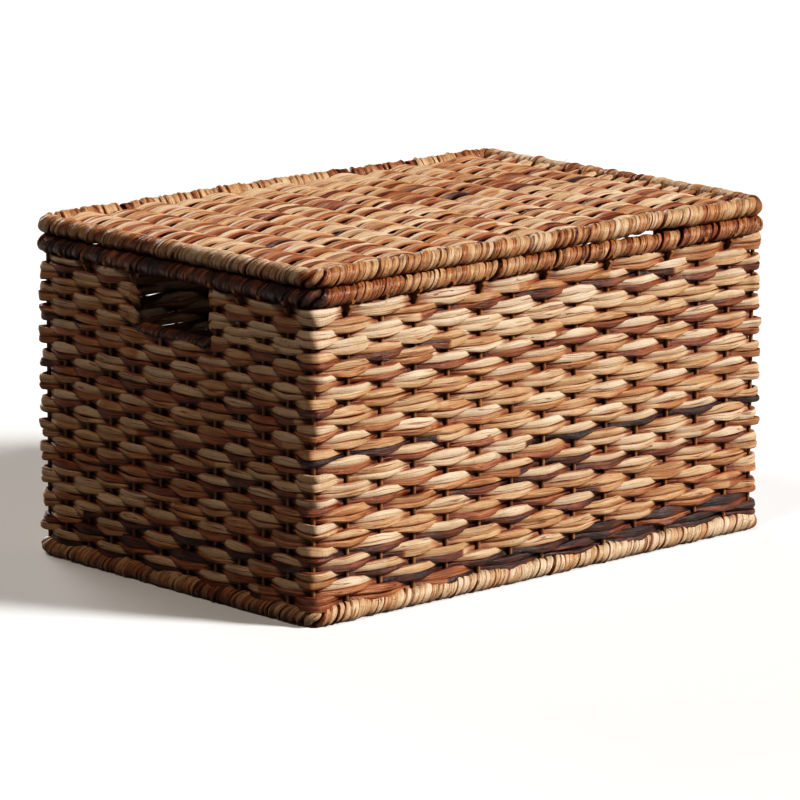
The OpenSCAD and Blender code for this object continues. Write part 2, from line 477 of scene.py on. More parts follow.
def sweep(g, curve, face, half_wide, half_thick, sides, folds, fold_depth, twist):
    """Gives a curve the section of a folded strand. face is the way its flat side looks.

    folds counts the ridges around the section, and twist turns them, in radians for each metre.
    The strand's own length is read from the attribute along, and its turn about itself from roll.
    """
    curve = g.store(
        curve, spine=g.position(), ahead=g.tangent(), face=face, half_wide=half_wide, half_thick=half_thick
    )
    # Counted backwards, so that faces look outwards on the axes used below.
    ring = g.store(g.circle(sides, 1.0), around=g.add("GeometryNodeSplineParameter") * -math.tau)
    tube = g.tube(curve, ring)

    along, roll, around = g.read("along"), g.read("roll"), g.read("around")
    ahead, facing = g.read_vector("ahead"), g.read_vector("face")
    cosine, sine = g.cos(around), g.sin(around)
    fuller = (cosine * cosine * sine * sine * 4.0) * FULLER + 1.0
    ridge = g.cos(around * folds + along * twist + roll * RIDGE_ROLL) * fold_depth + 1.0
    wide = cosine * fuller * ridge
    thick = sine * fuller * ridge
    x = wide * g.read("half_wide")
    y = thick * g.read("half_thick")
    across = g.unit(g.cross(ahead, facing))
    upright = g.unit(g.cross(across, ahead))
    lean_x = x * g.cos(roll) - y * g.sin(roll)
    lean_y = x * g.sin(roll) + y * g.cos(roll)
    tube = g.store(tube, grain=g.vector(along, wide, thick))
    tube = g.place(tube, g.read_vector("spine") + across * lean_x + upright * lean_y)
    return g.add(
        "GeometryNodeSetShadeSmooth",
        {"domain": "EDGE"},
        {"Geometry": tube, "Shade Smooth": g.add("GeometryNodeInputMeshEdgeAngle") < SMOOTH_BELOW},
    )


def close_tree(g, geometry, material):
    geometry = g.add("GeometryNodeRealizeInstances", None, {"Geometry": geometry})
    g.end(g.add("GeometryNodeSetMaterial", None, {"Geometry": geometry, "Material": material}))


def weave_tree():
    """Guide lines become strands that pass in front of one stake and behind the next.

    Each guide point says how many stakes it is along (beat, odd is behind), which way is out, how
    much slack is added in front, and whether the strand is the upper or lower of its pair (rank).
    luck is drawn anew for each stitch, and drift changes slowly along the strand.
    """
    g = Growth("plain_weave")
    material = g.input("Material", "Material")
    across = g.input("Course Up", "Vector")
    sharp = g.input("Stitch Sharpness")
    swing = g.input("Swing")
    stitch = g.input("Stitch Half Height")
    neck = g.input("Neck Half Height")
    thin = g.input("Stitch Half Thickness")
    fat = g.input("Neck Half Thickness")
    wander = g.input("Wander")
    sides = g.input("Sides", "Int")
    seed = g.input("Seed")

    beat, rank, strand = g.read("beat"), g.read("rank"), g.read("strand")
    out = g.read_vector("out")
    sway = g.cos(beat * math.pi)
    front = g.call("MAXIMUM", sway, 0.0)
    stitch_no = g.call("ROUND", beat)
    peak = 1.0 - g.magnitude(beat - stitch_no) * 2.0
    fullness = sway * sway * (1.0 - sharp) + peak * sharp
    luck = g.dice(stitch_no, strand, seed) - 0.5
    luck_up = g.dice(stitch_no, strand, seed + 3.0) - 0.5
    luck_out = g.dice(stitch_no, strand, seed + 7.0) - 0.5
    drift = g.noise(g.vector(g.read("along") * 18.0, strand * 5.3, seed), 1.0, 2.0) - 0.5
    tall = g.read("wide") * (neck + (stitch - neck) * fullness * (1.0 + luck * 0.5)) * (1.0 + drift * 0.5)
    depth = fat + (thin - fat) * fullness
    rise = rank * tall * 0.98 + luck_up * fullness * wander + drift * wander * 1.6
    move = sway * (swing + g.read("slack") * front) + luck_out * fullness * wander * 0.7
    curve = g.place(g.curves(), g.position() + out * move + across * rise)
    face = g.unit(g.cross(g.tangent(), across))
    curve = g.store(curve, roll=luck * fullness * 0.5 + drift, sway=sway)
    tube = sweep(g, curve, face, tall, depth, sides, 3.0, g.read("folded"), 26.0)
    # Painted shade: 1 on sides that look into the weave, which are darkened as if in shade, and 0 on those
    # that lie open.
    normal = g.add("GeometryNodeInputNormal")
    open_side = g.vector_call("DOT_PRODUCT", normal, g.read_vector("out"), out=1)
    tube = g.store(tube, hollow=g.smooth(open_side * g.read("sway"), -0.05, -0.75))
    close_tree(g, tube, material)
    return g


def laid_tree():
    """Lines become single strands, sticks or fibres with the sizes that their points give."""
    g = Growth("laid_strand")
    material = g.input("Material", "Material")
    sides = g.input("Sides", "Int")
    folds = g.input("Folds")
    depth = g.input("Fold Depth")
    twist = g.input("Twist")
    face = g.read_vector("out")
    tube = sweep(g, g.curves(), face, g.read("wide"), g.read("thick"), sides, folds, depth, twist)
    close_tree(g, tube, material)
    return g


# A winding's core is coloured nearly black: painted shade that shows between the turns.
CORE_SHADE_TONE = 0.10


def winding_tree():
    """A strand wound around a line: a core, and turns that lie side by side around it."""
    g = Growth("wound_rim")
    material = g.input("Material", "Material")
    core = g.input("Core Radius")
    half_wide = g.input("Strand Half Width")
    half_thick = g.input("Strand Half Thickness")
    pitch = g.input("Turn Pitch")
    unrest = g.input("Unrest")
    slant = g.input("Slant")
    steps = g.input("Steps Each Turn")
    sides = g.input("Sides", "Int")
    seed = g.input("Seed")
    worn = g.input("Worn Flat At")

    line = g.curves()
    # The core's near-black tone is painted shade between the turns.
    inner = g.store(g.tube(line, g.circle(10, core)), tone=CORE_SHADE_TONE, grain=g.position() * 20.0)

    turns = g.add("GeometryNodeResampleCurve", {"mode": "LENGTH"}, {"Curve": line, "Length": pitch / steps})
    travelled = g.add("GeometryNodeSplineParameter", None, None, "Length")
    place = g.position()
    heading = g.tangent()
    outward = g.unit(g.cross(heading, (0.0, 0.0, 1.0)))
    uneven = g.noise(place * 42.0 + g.vector(seed, seed, seed)) - 0.5
    swell = g.noise(place * 75.0 + g.vector(seed, 0.0, 9.0)) - 0.5
    turn = travelled / pitch + uneven * unrest
    angle = turn * math.tau
    direction = outward * g.cos(angle) + g.vector(0.0, 0.0, g.sin(angle))
    radius = core + half_thick * (0.68 + swell * 1.2)
    # A turn's own luck changes on the rim's inner side.
    jitter = g.dice(g.call("FLOOR", turn + 0.5), seed) - 0.5
    roll = g.noise(place * 60.0 + g.vector(0.0, seed, 4.0)) * 1.6 - 0.8
    turns = g.store(turns, tone=g.read("tone") + jitter * 0.26, roll=roll, face=direction, swell=swell)
    lean = heading * (g.sin(angle - 0.5) * slant)
    turns = g.place(turns, place + direction * radius + lean)
    turns = g.store(turns, along=g.add("GeometryNodeSplineParameter", None, None, "Length"))
    wide = half_wide * (1.02 + g.read("swell") * 1.1)
    tube = sweep(g, turns, g.read_vector("face"), wide, half_thick, sides, 3.0, 0.20, 100.0)
    both = g.add("GeometryNodeJoinGeometry", None, {"Geometry": tube})
    g.tree.links.new(inner.socket, both.socket.node.inputs["Geometry"])
    # Flat where it has worn on the ground.
    x, y, z = g.split(g.position())
    both = g.place(both, g.vector(x, y, g.call("MAXIMUM", z, worn)))
    close_tree(g, both, material)
    return g


WEAVE = weave_tree()
LAID = laid_tree()
WINDING = winding_tree()
KEPT_ATTRIBUTES = ("tone", "grain", "hollow")


def lines_mesh(name, lines):
    """One mesh of open or closed lines.

    Each is a dict: co has a row for each point, and any other value has one too, or is one for all.
    """
    counts = [len(line["co"]) for line in lines]
    starts = np.cumsum([0, *counts[:-1]])
    edges = []
    for start, count, line in zip(starts, counts, lines):
        first = np.arange(count if line.get("closed") else count - 1)
        edges.append(np.stack([start + first, start + (first + 1) % count], 1))
    edges = np.concatenate(edges)
    mesh = bpy.data.meshes.new(name)
    mesh.vertices.add(sum(counts))
    mesh.edges.add(len(edges))
    mesh.vertices.foreach_set("co", np.concatenate([line["co"] for line in lines]).astype(np.float32).ravel())
    mesh.edges.foreach_set("vertices", edges.astype(np.int32).ravel())
    for key in sorted({key for line in lines for key in line} - {"co", "closed"}):
        shape, kind, field = ((3,), "FLOAT_VECTOR", "vector") if key == "out" else ((), "FLOAT", "value")
        rows = [np.broadcast_to(line[key], (count, *shape)) for line, count in zip(lines, counts)]
        attribute = mesh.attributes.new(key, kind, "POINT")
        attribute.data.foreach_set(field, np.concatenate(rows).astype(np.float32).ravel())
    return mesh


def grow(name, lines, growth, inputs, body, slot, *replaced):
    """Runs a tree on a set of lines, and makes a piece of the mesh that comes of it."""
    guide = bpy.data.objects.new(name + "_guide", lines_mesh(name + "_guide", lines))
    bpy.context.collection.objects.link(guide)
    modifier = guide.modifiers.new("growth", "NODES")
    modifier.node_group = growth.tree
    for key, value in inputs.items():
        modifier[growth.keys[key]] = value
    depsgraph = bpy.context.evaluated_depsgraph_get()
    grown = guide.evaluated_get(depsgraph)
    mesh = bpy.data.meshes.new_from_object(grown, preserve_all_data_layers=True, depsgraph=depsgraph)
    guide_mesh = guide.data
    bpy.data.objects.remove(guide)
    bpy.data.meshes.remove(guide_mesh)
    for attribute in [a.name for a in mesh.attributes]:
        layer = mesh.attributes[attribute]
        if layer.domain == "POINT" and attribute not in (*KEPT_ATTRIBUTES, "position"):
            mesh.attributes.remove(layer)
    mesh.name = name
    piece = bpy.data.objects.new(name, mesh)
    bpy.context.collection.objects.link(piece)
    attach(piece, body)
    if replaced:
        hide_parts(*replaced)


# ---- the walls' guide lines

# The wall's middle line, seen from above: straight runs and quarter bends, anticlockwise from the
# middle of the back. A run is a length, a start and a direction of travel, and a bend is a length,
# a centre and the angle that it starts at.
RUN_X = RING_X - CORNER_R
RUN_Y = RING_Y - CORNER_R
BEND = CORNER_R * math.pi / 2
LOOP = [
    (RUN_X, (0, RING_Y), (-1, 0)),
    (BEND, (-RUN_X, RUN_Y), 90),
    (2 * RUN_Y, (-RING_X, RUN_Y), (0, -1)),
    (BEND, (-RUN_X, -RUN_Y), 180),
    (2 * RUN_X, (-RUN_X, -RING_Y), (1, 0)),
    (BEND, (RUN_X, -RUN_Y), 270),
    (2 * RUN_Y, (RING_X, -RUN_Y), (0, 1)),
    (BEND, (RUN_X, RUN_Y), 0),
    (RUN_X, (RUN_X, RING_Y), (-1, 0)),
]
LOOP_LENGTH = sum(leg[0] for leg in LOOP)


def loop_points(travel):
    """Places and outward directions, in plan, at distances along the wall's middle line."""
    travel = np.asarray(travel, float) % LOOP_LENGTH
    place = np.zeros((len(travel), 3))
    out = np.zeros((len(travel), 3))
    start = 0.0
    for length, origin, heading in LOOP:
        here = (travel >= start - 1e-9) & (travel <= start + length + 1e-9)
        step = travel[here] - start
        if isinstance(heading, tuple):
            place[here, 0] = origin[0] + heading[0] * step
            place[here, 1] = origin[1] + heading[1] * step
            out[here, 0], out[here, 1] = heading[1], -heading[0]
        else:
            angle = math.radians(heading) + step / CORNER_R
            out[here, 0], out[here, 1] = np.cos(angle), np.sin(angle)
            place[here, 0] = origin[0] + CORNER_R * np.cos(angle)
            place[here, 1] = origin[1] + CORNER_R * np.sin(angle)
        start += length
    return place, out


def stake_distances():
    """Where each stake stands along the loop, from the one at the middle of the back."""
    half_front = FRONT_BAYS // 2
    side = [RING_Y - SIDE_BAY * i for i in range(1, SIDE_BAYS + 1)]
    under = [HAND_Y - 2 * HAND_Y / UNDER_BAYS * i for i in range(1, UNDER_BAYS)]
    end = side + under + [-y for y in reversed(side)]
    corner = RUN_X + BEND / 2
    back = [BAY * i for i in range(half_front)]
    left = [RUN_X + BEND + RUN_Y - y for y in end]
    front_start = RUN_X + 2 * BEND + 2 * RUN_Y
    front = [front_start + RUN_X - RING_X + BAY * i for i in range(1, FRONT_BAYS)]
    right_start = front_start + 2 * RUN_X + BEND
    right = [right_start + RUN_Y - y for y in end]
    rest = [LOOP_LENGTH - BAY * i for i in range(half_front - 1, 0, -1)]
    posts = [corner, corner + BEND + 2 * RUN_Y, front_start + 2 * RUN_X + BEND / 2, LOOP_LENGTH - corner]
    return [*back, posts[0], *left, posts[1], *front, posts[2], *right, posts[3], *rest]


STAKES = stake_distances()
STAKE_COUNT = len(STAKES)
# The corner posts, as numbers along the loop: left back, left front, right front, right back.
POSTS = [FRONT_BAYS // 2 + n for n in (0, END_BAYS, END_BAYS + FRONT_BAYS, 2 * END_BAYS + FRONT_BAYS)]
# The stakes beside the handholds, as numbers along the loop.
LEFT_BACK, LEFT_FRONT = POSTS[0] + SIDE_BAYS, POSTS[1] - SIDE_BAYS
RIGHT_FRONT, RIGHT_BACK = POSTS[2] + SIDE_BAYS, POSTS[3] - SIDE_BAYS


def travel_at(beat):
    """Distance along the loop at a number of stakes from its start. It may run past one lap."""
    laps = np.floor(np.asarray(beat, float) / STAKE_COUNT)
    marks = np.array([*STAKES, LOOP_LENGTH])
    return np.interp(beat - laps * STAKE_COUNT, np.arange(STAKE_COUNT + 1), marks) + laps * LOOP_LENGTH


def corner_slack(travel):
    """Strands go nearly straight on past the outside of a corner post, and turn with a crease.

    Each creases at its own place and by its own depth.
    """
    travel = travel % LOOP_LENGTH
    slack = np.zeros(len(travel))
    start = 0.0
    for length, _, heading in LOOP:
        if not isinstance(heading, tuple):
            turned = (travel - start) / CORNER_R + rng.normal(0, 0.3)
            fold = math.pi / 4 - np.hypot(turned - math.pi / 4, CREASE_ROUNDING)
            bent = fold > 0
            reach = (CORNER_R + SWING) * (1 / np.cos(fold[bent]) - 1)
            slack[bent] = reach * CREASE * rng.uniform(0.3, 1.6)
        start += length
    return slack


def course_z(course, place):
    closer = max(0, course - (WALL_COURSES - 1 - CLOSE_COURSES))
    z = FIRST_COURSE_Z + COURSE_H * (course - closer * (1 - CLOSENESS))
    below = WALL_COURSES - HAND_COURSES - 1 - course
    press = 1 - below / DIP_DEPTH if below >= 0 else 1 + below / HAND_COURSES
    ends = np.abs(place[:, 0]) > RING_X - CORNER_R / 2
    return z - ends * BAR_DIP * max(0, press) * np.exp(-((place[:, 1] / DIP_WIDTH) ** 2))


# A pair's two strands, and the leaves' tones.
UPPER, LOWER = 1, -1
PALE, CREAM, TAN, AMBER, BROWN, RED, DARK = 0.88, 0.96, 0.72, 0.60, 0.46, 0.30, 0.10


def pick_tone(rank):
    if rank == UPPER:
        return rng.choice([CREAM, PALE, TAN, AMBER, BROWN], p=[0.22, 0.46, 0.21, 0.08, 0.03])
    return rng.choice([PALE, TAN, AMBER, BROWN, RED, DARK], p=[0.09, 0.14, 0.25, 0.30, 0.20, 0.02])


def spliced_tones(along, rank):
    """A strand is pieced together from leaves, each of its own length and colour."""
    tone = np.empty(len(along))
    start = along[0] - rng.uniform(0, 0.4)
    while start < along[-1] + 1e-6:
        length = rng.uniform(0.18, 0.65)
        here = (along >= start) & (along < start + length)
        leaf = pick_tone(rank) + rng.normal(0, 0.025)
        fade = rng.normal(0, 0.06) * np.clip((along[here] - start) / length, 0, 1)
        tone[here] = leaf + fade
        start += length
    return np.clip(tone, 0.02, 1.0)


# Leaves whose place is set: course, rank, where they run from and to, in stakes from the left front
# corner post, and tone.
FRONT_0 = POSTS[1]
SET_LEAVES = [
    (10, LOWER, 6.3, 15, 0.05),
    (8, LOWER, 6.2, 8.4, 0.10),
    (2, LOWER, 0.7, 4.4, 0.14),
    (1, LOWER, 2.0, 9.0, 0.10),
    (1, UPPER, 8.2, 15, 0.08),
    (0, UPPER, -2.0, 5.3, 0.44),
    (0, UPPER, 5.3, 15, 0.06),
    (0, LOWER, -2.0, 4.0, 0.40),
    (0, LOWER, 4.0, 13, 0.12),
    (9, LOWER, 9.5, 15, 0.90),
    (8, LOWER, 9.5, 12, 0.84),
    (24, LOWER, -1, 6, 0.86),
    (23, LOWER, 0, 3, 0.70),
    (13, LOWER, -1, 1.6, 0.72),
    (12, LOWER, -0.4, 3.6, 0.10),
    (3, LOWER, -9, -2, 0.14),
    (1, UPPER, -11, -4, 0.16),
    (0, LOWER, -11, -2, 0.14),
]


# The walls are browner towards the floor, over this many courses, by this much.
BROWN_COURSES = 12
BROWNER = 0.07
# The upper strand of a pair is the wider one.
RANK_WIDTH = {LOWER: 0.88, UPPER: 1.10}
# Pale leaf is folded less deeply than dark leaf.
PALE_FROM, PALE_FOLD, DARK_FOLD = 0.7, 0.07, 0.16
# Each strand's grain starts this far on from the last one's, in metres.
GRAIN_STEP = 3.7


def beats_between(first, last):
    """Points along a course, from one stake to another, closer together around the corner posts."""
    even = np.arange(first * STEPS, last * STEPS + 1) / STEPS
    bend = np.arange(-CORNER_STEPS // 3, CORNER_STEPS // 3 + 1) / CORNER_STEPS
    corners = [post + lap + bend for post in POSTS for lap in (0, STAKE_COUNT)]
    beat = np.unique(np.round(np.concatenate([even, *corners]), 5))
    return beat[(beat >= first) & (beat <= last)]


def course_guide(beat, course, rank):
    along = travel_at(beat)
    place, out = loop_points(along)
    place[:, 2] = course_z(course, place)
    # The strand is in front of a stake where stake number plus course is even.
    parity = course % 2
    tone = spliced_tones(along, rank) - BROWNER * max(0, 1 - course / BROWN_COURSES)
    lap = (beat + 0.5) % STAKE_COUNT - 0.5
    for set_course, set_rank, first, last, leaf in SET_LEAVES:
        if (set_course, set_rank) == (course, rank):
            tone = np.where((lap >= FRONT_0 + first) & (lap <= FRONT_0 + last), leaf, tone)
    strand = course * 2 + (rank == UPPER)
    return {
        "co": place,
        "out": out,
        "beat": beat + parity,
        "slack": corner_slack(along),
        "along": along + strand * GRAIN_STEP,
        "tone": tone,
        "rank": rank,
        "strand": strand,
        "wide": RANK_WIDTH[rank] * rng.uniform(0.95, 1.05),
        "folded": np.where(tone > PALE_FROM, PALE_FOLD, DARK_FOLD),
    }


def full_course(course, rank):
    """A course that closes on itself. Its two ends meet between stakes, at a place of its own."""
    first = rng.integers(STAKE_COUNT) + 0.5
    beat = beats_between(first, first + STAKE_COUNT)[:-1]
    return {**course_guide(beat, course, rank), "closed": True}


def half_round(beat_end, course, forward):
    """The strand turns back around the stake beside a handhold, up to the next course.

    Gives its points, the way out at each, and the share of the turn that is behind it.
    """
    turn = np.linspace(0, math.pi, 9)[1:-1]
    place, out = loop_points(travel_at(np.full(len(turn), float(beat_end))))
    heading = np.stack([-out[:, 1], out[:, 0], out[:, 2]], 1) * (1 if forward else -1)
    place += heading * (SWING + 0.0002) * np.sin(turn)[:, None]
    lower, upper = course_z(course, place), course_z(course + 1, place)
    place[:, 2] = lower + (upper - lower) * turn / math.pi
    return place, out, turn / math.pi


def serpentine(first_stake, last_stake, rank):
    """The top courses between the two handholds: one strand, turned back at each end."""
    parts = []
    top_courses = range(WALL_COURSES - HAND_COURSES, WALL_COURSES)
    for row, course in enumerate(top_courses):
        beat = beats_between(first_stake, last_stake)
        guide = course_guide(beat, course, rank)
        forward = row % 2 == 0
        if not forward:
            for key in ("co", "out", "beat", "slack", "along", "tone", "folded"):
                guide[key] = guide[key][::-1]
        parts.append(guide)
        if course == top_courses[-1]:
            break
        end = last_stake if forward else first_stake
        place, out, share = half_round(end, course, forward)
        in_front = math.cos(math.pi * guide["beat"][-1]) > 0
        parts.append({
            "co": place,
            "out": out,
            "beat": share if in_front else share + 1,
            "slack": np.zeros(len(share)),
            "along": guide["along"][-1] + share * 0.02,
            "tone": np.full(len(share), guide["tone"][-1]),
            "folded": np.full(len(share), 0.06),
        })
    line = {key: np.concatenate([part[key] for part in parts]) for key in parts[1]}
    # The number only has to differ from the other strands'.
    line.update(rank=rank, wide=1.0, strand=100 + first_stake + rank)
    return line


WALL_INPUTS = {
    "Material": WALL_STRAND,
    "Course Up": (0.0, 0.0, 1.0),
    "Stitch Sharpness": 0.35,
    "Swing": SWING,
    "Stitch Half Height": STITCH_HALF,
    "Neck Half Height": NECK_HALF,
    "Stitch Half Thickness": 0.0023,
    "Neck Half Thickness": 0.0027,
    "Wander": 0.0014,
    "Sides": 10,
    "Seed": 3.0,
}
WALL_NODES = ("front_weave", "back_weave", "left_weave", "right_weave")


def make_walls():
    """The courses below the handholds' bars in bands of five, and those above them as one piece."""
    for number, first in enumerate(range(0, WALL_COURSES - HAND_COURSES, 5), 1):
        band = range(first, first + 5)
        lines = [full_course(course, rank) for course in band for rank in (LOWER, UPPER)]
        grow(f"wall_courses_{number}", lines, WEAVE, WALL_INPUTS, "trunk", "wall_strand", *WALL_NODES)
    lines = [serpentine(LEFT_FRONT, RIGHT_FRONT, rank) for rank in (LOWER, UPPER)]
    lines += [serpentine(RIGHT_BACK, LEFT_BACK + STAKE_COUNT, rank) for rank in (LOWER, UPPER)]
    grow("wall_courses_top", lines, WEAVE, WALL_INPUTS, "trunk", "wall_strand", *WALL_NODES)


# ---- the floor and the lid


def crown(x, y, height):
    return height * (1 - (x / RING_X) ** 2) * (1 - (y / RING_Y) ** 2)


# The lid's front courses are browner: how likely a brown strand is in the first one, how much less
# in each of the next, and in all from the last of them. Its tones darken a little to the back.
LID_BROWN, LID_BROWN_STEP, LID_BROWN_COURSES, LID_BROWN_BACK = 0.80, 0.07, 9, 0.13
LID_DARKER, LID_DARKER_STEP = 0.01, 0.0045


def lid_tones(x, course):
    likely = LID_BROWN - course * LID_BROWN_STEP if course < LID_BROWN_COURSES else LID_BROWN_BACK
    kind = LOWER if rng.random() < likely else UPPER
    return spliced_tones(x + RING_X, kind) - LID_DARKER - LID_DARKER_STEP * course


def panel_lines(z, height, lid):
    """Pairs of strands along the panel, over one rib and under the next."""
    lines = []
    reach = PANEL_X + INTO_RIM
    x = np.linspace(-reach, reach, FRONT_BAYS * STEPS + 1)
    for course in range(PANEL_COURSES):
        for rank in (LOWER, UPPER):
            y = -PANEL_Y + (course + 0.5) * PANEL_PITCH
            strand = 200 + course * 2 + (rank == UPPER)
            lines.append({
                "co": np.stack([x, np.full(len(x), y), z + crown(x, y, height)], 1),
                "out": (0, 0, 1),
                "beat": (x + RING_X) / BAY + course % 2,
                "slack": 0,
                "along": x + strand * GRAIN_STEP,
                "tone": lid_tones(x, course) if lid else spliced_tones(x + RING_X, rank),
                "rank": rank,
                "strand": strand,
                "wide": rng.uniform(0.93, 1.07),
                "folded": 0.14,
            })
    return lines


PANEL_INPUTS = {
    "Material": LID_STRAND,
    "Course Up": (0.0, -1.0, 0.0),
    "Stitch Sharpness": 0.25,
    "Swing": 0.0038,
    "Stitch Half Height": 0.0036,
    "Neck Half Height": 0.0030,
    "Stitch Half Thickness": 0.0021,
    "Neck Half Thickness": 0.0025,
    "Wander": 0.0017,
    "Sides": 8,
}


def stick_inputs(sides, fold_depth):
    return {"Material": RATTAN, "Sides": sides, "Folds": 2.0, "Fold Depth": fold_depth, "Twist": 9.0}


def laid_line(co, out, wide, thick, along, tone):
    return {"co": co, "out": out, "wide": wide, "thick": thick, "along": along, "roll": 0, "tone": tone}


def rib_lines(z, height):
    lines = []
    y = np.linspace(-RING_Y + ROD_R, RING_Y - ROD_R, 13)
    for i in range(1, FRONT_BAYS):
        x = -RING_X + i * BAY
        co = np.stack([np.full(len(y), x), y, z + crown(x, y, height)], 1)
        lines.append(laid_line(co, (0, 0, 1), STAKE_R, STAKE_R, y, 0.5))
    return lines


def make_panels():
    for name, body, slot, node, z, height, seed in (
        ("lid", "lid", "lid_strand", "lid_weave", LID_Z, LID_CROWN, 5.0),
        ("floor", "trunk", "wall_strand", "base_weave", BASE_Z, 0.0, 6.0),
    ):
        lines = panel_lines(z, height, name == "lid")
        half = len(lines) // 2
        for side, some in (("front", lines[:half]), ("back", lines[half:])):
            grow(f"{name}_courses_{side}", some, WEAVE, {**PANEL_INPUTS, "Seed": seed}, body, slot, node)
    ribs = rib_lines(LID_Z, LID_CROWN)
    grow("lid_rib_sticks", ribs, LAID, stick_inputs(10, 0.02), "lid", "rattan_stake", "lid_ribs")


# ---- the wound rims


# Each rim's height, its leaves' tones with their shares, how wavy it is, how far it is warped up (or below 0,
# down) at WARP_X, how much paler its left end is painted, as painted light (or below 0, darker, as painted
# shade) on that end, which lies in shade, and its tones along the front, from the left (-1) to the right (1).
LID_RIM = {
    "z": LID_Z,
    "leaves": ([0.84, 0.70, 0.58, 0.46, 0.36], [0.20, 0.32, 0.26, 0.14, 0.08]),
    "waviness": 0.0004,
    "warp": 0.0018,
    "left_painted_light_and_shade": 0.14,
    "front": ((-1, 0.36), (-0.86, 0.40), (-0.70, 0.62), (-0.30, 0.56), (-0.10, 0.66), (0.3, 0.78), (1, 0.66)),
}
TOP_RIM = {
    "z": TOP_Z,
    "leaves": ([0.58, 0.48, 0.40, 0.32, 0.70], [0.26, 0.28, 0.18, 0.08, 0.20]),
    "waviness": 0.0003,
    "warp": -0.0014,
    "left_painted_light_and_shade": -0.26,
    "front": ((-1, 0.32), (-0.80, 0.50), (-0.55, 0.66), (-0.25, 0.70), (0, 0.58), (0.3, 0.50), (1, 0.54)),
}
BASE_RIM = {
    "z": BASE_Z,
    "leaves": ([0.92, 0.84, 0.74, 0.58], [0.38, 0.34, 0.20, 0.08]),
    "waviness": 0.0002,
    "warp": 0.0,
    "left_painted_light_and_shade": -0.26,
    "front": ((-1, 0.74), (-0.5, 0.84), (1, 0.86)),
}
BAR_LEAVES = ([0.14, 0.22, 0.34, 0.62], [0.4, 0.3, 0.2, 0.1])
# Share of a rim's tone along the front that is set, and not left to luck.
FRONT_SET = 0.65
# Distance between a rim line's points, and how many of them a leaf lasts.
RIM_STEP = 0.007
LEAF_LASTS = (4, 16)


def rim_tones(count, choices, weights):
    """Tones along a rim: stretches, each of its own leaf."""
    tone = np.empty(count)
    start = 0
    while start < count:
        length = int(rng.integers(*LEAF_LASTS))
        tone[start:start + length] = rng.choice(choices, p=weights) + rng.normal(0, 0.03)
        start += length
    return tone


def rim_line(rim, first, last, closed=False):
    """A rim's middle line between two distances along the loop."""
    count = int((last - first) / RIM_STEP)
    travel = np.linspace(first, last, count, endpoint=not closed)
    place, _ = loop_points(travel)
    x, front = place[:, 0], place[:, 1] < -RUN_Y
    sway = travel * math.tau / LOOP_LENGTH
    place[:, 2] = rim["z"] + rim["waviness"] * (np.sin(3 * sway + 1.0) + 0.6 * np.sin(7 * sway + 2.0))
    place[:, 2] += front * rim["warp"] * np.exp(-(((x - WARP_X) / WARP_WIDTH) ** 2))
    # Painted light or shade on the rim's left end, by the sign of its shift.
    tone = rim_tones(count, *rim["leaves"]) + rim["left_painted_light_and_shade"] * (x < -RUN_X)
    along_front, front_tone = zip(*rim["front"])
    set_tone = np.interp(x / RING_X, along_front, front_tone)
    tone = np.where(front, set_tone * FRONT_SET + tone * (1 - FRONT_SET), tone)
    return {"co": place, "tone": np.clip(tone, 0.06, 1.0), "closed": closed}


def notched_rim(rim):
    """The rim between its two lashing notches: along the back between them, and around the front."""
    back_left = LASHING_X - NOTCH / 2
    front_from = LASHING_X + NOTCH / 2
    return [rim_line(rim, -back_left, back_left), rim_line(rim, front_from, LOOP_LENGTH - front_from)]


RIM_INPUTS = {
    "Material": WOUND_STRAND,
    "Core Radius": 0.0040,
    "Strand Half Width": 0.0040,
    "Strand Half Thickness": 0.0029,
    "Turn Pitch": LOOP_LENGTH / round(LOOP_LENGTH / 0.0084),
    "Unrest": 1.5,
    "Slant": 0.0036,
    "Steps Each Turn": 26.0,
    "Sides": 11,
}
BAR_INPUTS = {
    **RIM_INPUTS,
    "Core Radius": 0.0026,
    "Strand Half Width": 0.0036,
    "Strand Half Thickness": 0.0017,
    "Turn Pitch": 0.0062,
}
# A height below every piece, where nothing is worn flat.
UNWORN = -1.0


def make_windings():
    for name, lines, seed, worn, body, slot in (
        ("lid_rim", notched_rim(LID_RIM), 1.0, UNWORN, "lid", "lid_winding"),
        ("top_rim", notched_rim(TOP_RIM), 2.0, UNWORN, "trunk", "dark_winding"),
        ("base_rim", [rim_line(BASE_RIM, 0.0, LOOP_LENGTH, True)], 3.0, 0.0, "trunk", "base_winding"),
    ):
        inputs = {**RIM_INPUTS, "Seed": seed, "Worn Flat At": worn}
        grow(name + "_wraps", lines, WINDING, inputs, body, slot, name + "_winding")
    for side, sign in (("left", -1), ("right", 1)):
        y = np.linspace(-HOLE_Y, HOLE_Y, 40)
        co = np.stack([np.full(len(y), sign * RING_X), y, np.full(len(y), HAND_Z)], 1)
        line = {"co": co[::sign], "tone": rim_tones(len(y), *BAR_LEAVES)}
        inputs = {**BAR_INPUTS, "Seed": 4.0 + sign, "Worn Flat At": UNWORN}
        winding = f"{side}_handhold_winding"
        grow(f"{side}_handhold_wraps", [line], WINDING, inputs, "trunk", "dark_winding", winding)


# ---- the hinge's lashings


